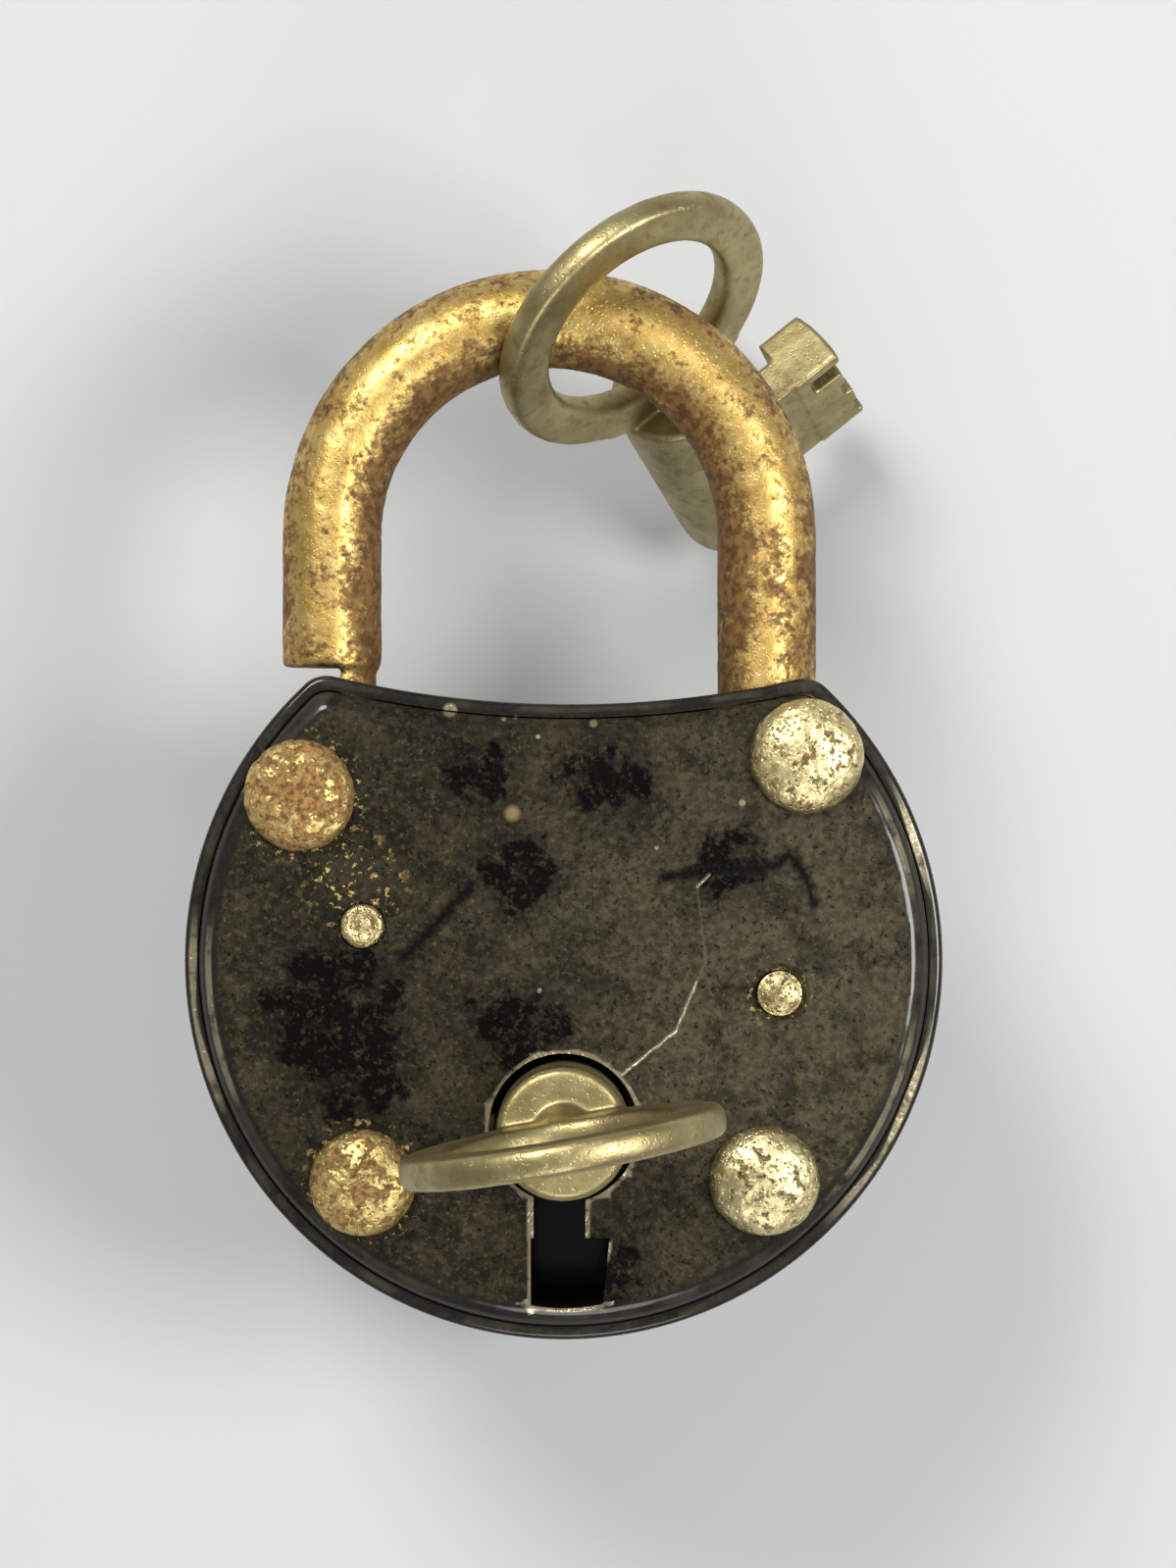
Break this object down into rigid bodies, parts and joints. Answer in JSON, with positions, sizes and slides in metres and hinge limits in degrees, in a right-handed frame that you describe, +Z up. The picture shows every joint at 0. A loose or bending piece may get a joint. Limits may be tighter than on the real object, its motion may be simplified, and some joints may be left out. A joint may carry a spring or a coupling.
{
  "type": "rusty padlock",
  "caption": "Old round steel padlock with a swinging gilt shackle, its barrel key in the keyhole and a spare key hung on the shackle.",
  "frame": {"origin": "the point inside the shackle's crown by which the lock hangs, at mid-thickness", "axes": "+Z up from the case towards the crown, -Y out of the keyhole face, +X to the heel leg's side, seen from the keyhole face"},
  "size_m": [0.0508, 0.0583, 0.0773],
  "materials": {
    "case_enamel": "worn matte black enamel over steel, browned and rusty",
    "rivet_steel": "pitted, tarnished and rusty",
    "inner_steel": "plain dull steel",
    "spring_steel": "blued spring steel",
    "lever_brass": "dull sheet brass",
    "shackle_gilt": "worn gold-coloured plating with brown rust",
    "key_nickel": "matte nickel silver, slightly tarnished"
  },
  "bodies": {
    "shackle": {"shackle": "shackle_gilt", "spare_key": "key_nickel"},
    "case": {"front_shell": "case_enamel", "back_shell": "case_enamel", "rivet_upper_left": "rivet_steel", "rivet_upper_right": "rivet_steel", "rivet_lower_left": "rivet_steel", "rivet_lower_right": "rivet_steel", "lever_pin": "rivet_steel", "spring_pin": "rivet_steel", "key_post": "inner_steel", "lever_spacer_back": "inner_steel", "lever_spacer_front": "inner_steel", "pivot_spacer_back": "inner_steel", "pivot_spacer_front": "inner_steel", "shackle_spring": "spring_steel"},
    "key": {"key": "key_nickel"},
    "lever_1": {"lever_1": "lever_brass", "lever_spring_1": "spring_steel"},
    "lever_2": {"lever_2": "lever_brass", "lever_spring_2": "spring_steel"},
    "lever_3": {"lever_3": "lever_brass", "lever_spring_3": "spring_steel"},
    "lever_4": {"lever_4": "lever_brass", "lever_spring_4": "spring_steel"},
    "lever_5": {"lever_5": "lever_brass", "lever_spring_5": "spring_steel"}
  },
  "joints": [
    {"name": "case_swing", "type": "hinge", "parent": "shackle", "child": "case", "pos_m": [0.0172, 0, -0.0265], "axis": [0, -1, 0], "range_deg": [0, 60]},
    {"name": "key_turn", "type": "hinge", "parent": "case", "child": "key", "pos_m": [0.001, 0, -0.0513], "axis": [0, -1, 0], "range_deg": [0, 80]},
    {"name": "lever_1_turn", "type": "hinge", "parent": "case", "child": "lever_1", "pos_m": [-0.0124, 0, -0.0378], "axis": [0, -1, 0], "range_deg": [0, 10]},
    {"name": "lever_2_turn", "type": "hinge", "parent": "case", "child": "lever_2", "pos_m": [-0.0124, 0, -0.0378], "axis": [0, -1, 0], "range_deg": [0, 10]},
    {"name": "lever_3_turn", "type": "hinge", "parent": "case", "child": "lever_3", "pos_m": [-0.0124, 0, -0.0378], "axis": [0, -1, 0], "range_deg": [0, 10]},
    {"name": "lever_4_turn", "type": "hinge", "parent": "case", "child": "lever_4", "pos_m": [-0.0124, 0, -0.0378], "axis": [0, -1, 0], "range_deg": [0, 10]},
    {"name": "lever_5_turn", "type": "hinge", "parent": "case", "child": "lever_5", "pos_m": [-0.0124, 0, -0.0378], "axis": [0, -1, 0], "range_deg": [0, 10]}
  ],
  "couplings": [
    {"joint": "lever_1_turn", "follows": "key_turn", "ratio": 0.125},
    {"joint": "lever_2_turn", "follows": "key_turn", "ratio": 0.125},
    {"joint": "lever_3_turn", "follows": "key_turn", "ratio": 0.125},
    {"joint": "lever_4_turn", "follows": "key_turn", "ratio": 0.125},
    {"joint": "lever_5_turn", "follows": "key_turn", "ratio": 0.125}
  ]
}
